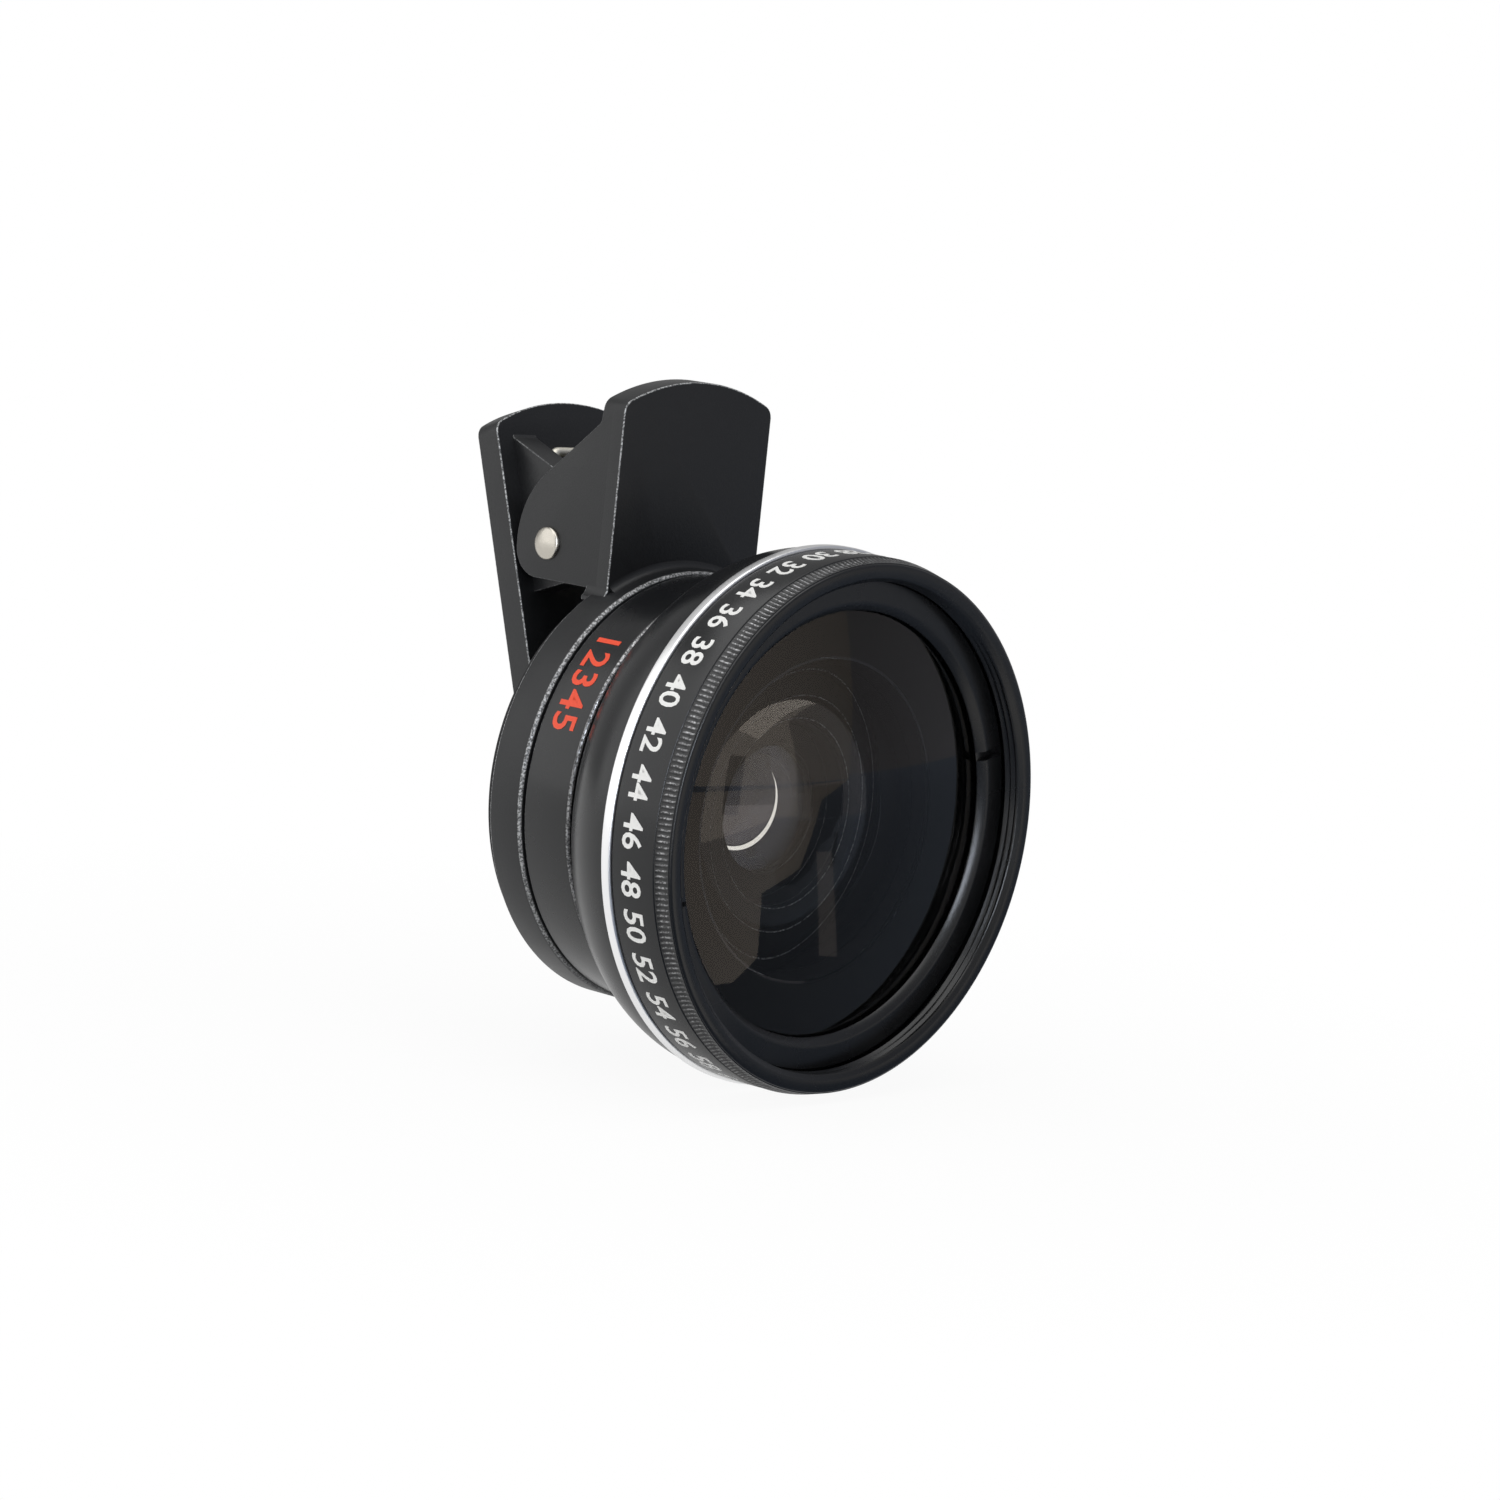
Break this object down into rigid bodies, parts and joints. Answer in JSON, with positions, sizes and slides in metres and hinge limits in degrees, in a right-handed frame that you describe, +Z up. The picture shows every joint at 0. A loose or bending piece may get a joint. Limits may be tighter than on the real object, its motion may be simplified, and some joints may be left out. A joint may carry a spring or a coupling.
{
  "type": "clip on phone lens",
  "caption": "Sprung clip for a phone that carries a screw-in macro lens and a wide-angle lens head with a front filter thread.",
  "frame": {"origin": "on the optical axis, in the plane of the soft seat pad where the back of the phone lies", "axes": "+Y along the optical axis towards the phone (light enters from -Y), +Z up along the levers, +X along the hinge pin"},
  "size_m": [0.0538, 0.0484, 0.0675],
  "materials": {
    "clip_plastic": "satin black moulding with a fine grain",
    "soft_pad": "matt soft pad",
    "nickel": "pale nickel",
    "anodised": "black anodised, satin",
    "bright_aluminium": "bright turned",
    "matt_black": "matt black inside",
    "glass": "coated glass"
  },
  "bodies": {
    "clip": {"front_clip": "clip_plastic", "seat_pad": "soft_pad", "hinge_pin": "nickel", "torsion_spring": "nickel"},
    "jaw": {"back_lever": "clip_plastic", "jaw_pad": "soft_pad"},
    "macro": {"macro_barrel": "anodised", "macro_lens": "glass", "macro_keeper": "anodised"},
    "wide_head": {"wide_barrel": "anodised", "bright_ring": "bright_aluminium", "front_lens": "glass", "front_keeper": "anodised", "stepped_baffle": "matt_black", "rear_mount": "anodised", "rear_lens_front": "glass", "rear_spacer": "matt_black", "rear_lens_back": "glass", "rear_keeper": "anodised"}
  },
  "joints": [
    {"name": "jaw_hinge", "type": "hinge", "parent": "clip", "child": "jaw", "pos_m": [0, 0.00565, 0.0232], "axis": [1, 0, 0], "range_deg": [0, 40], "stiffness_Nm_per_rad": 0.25, "springref_deg": -40.11, "deforming": ["torsion_spring"]},
    {"name": "macro_off", "type": "slide", "parent": "clip", "child": "macro", "axis": [0, -1, 0], "range_m": [0, 0.012]},
    {"name": "wide_head_off", "type": "slide", "parent": "macro", "child": "wide_head", "axis": [0, -1, 0], "range_m": [0, 0.012]}
  ]
}
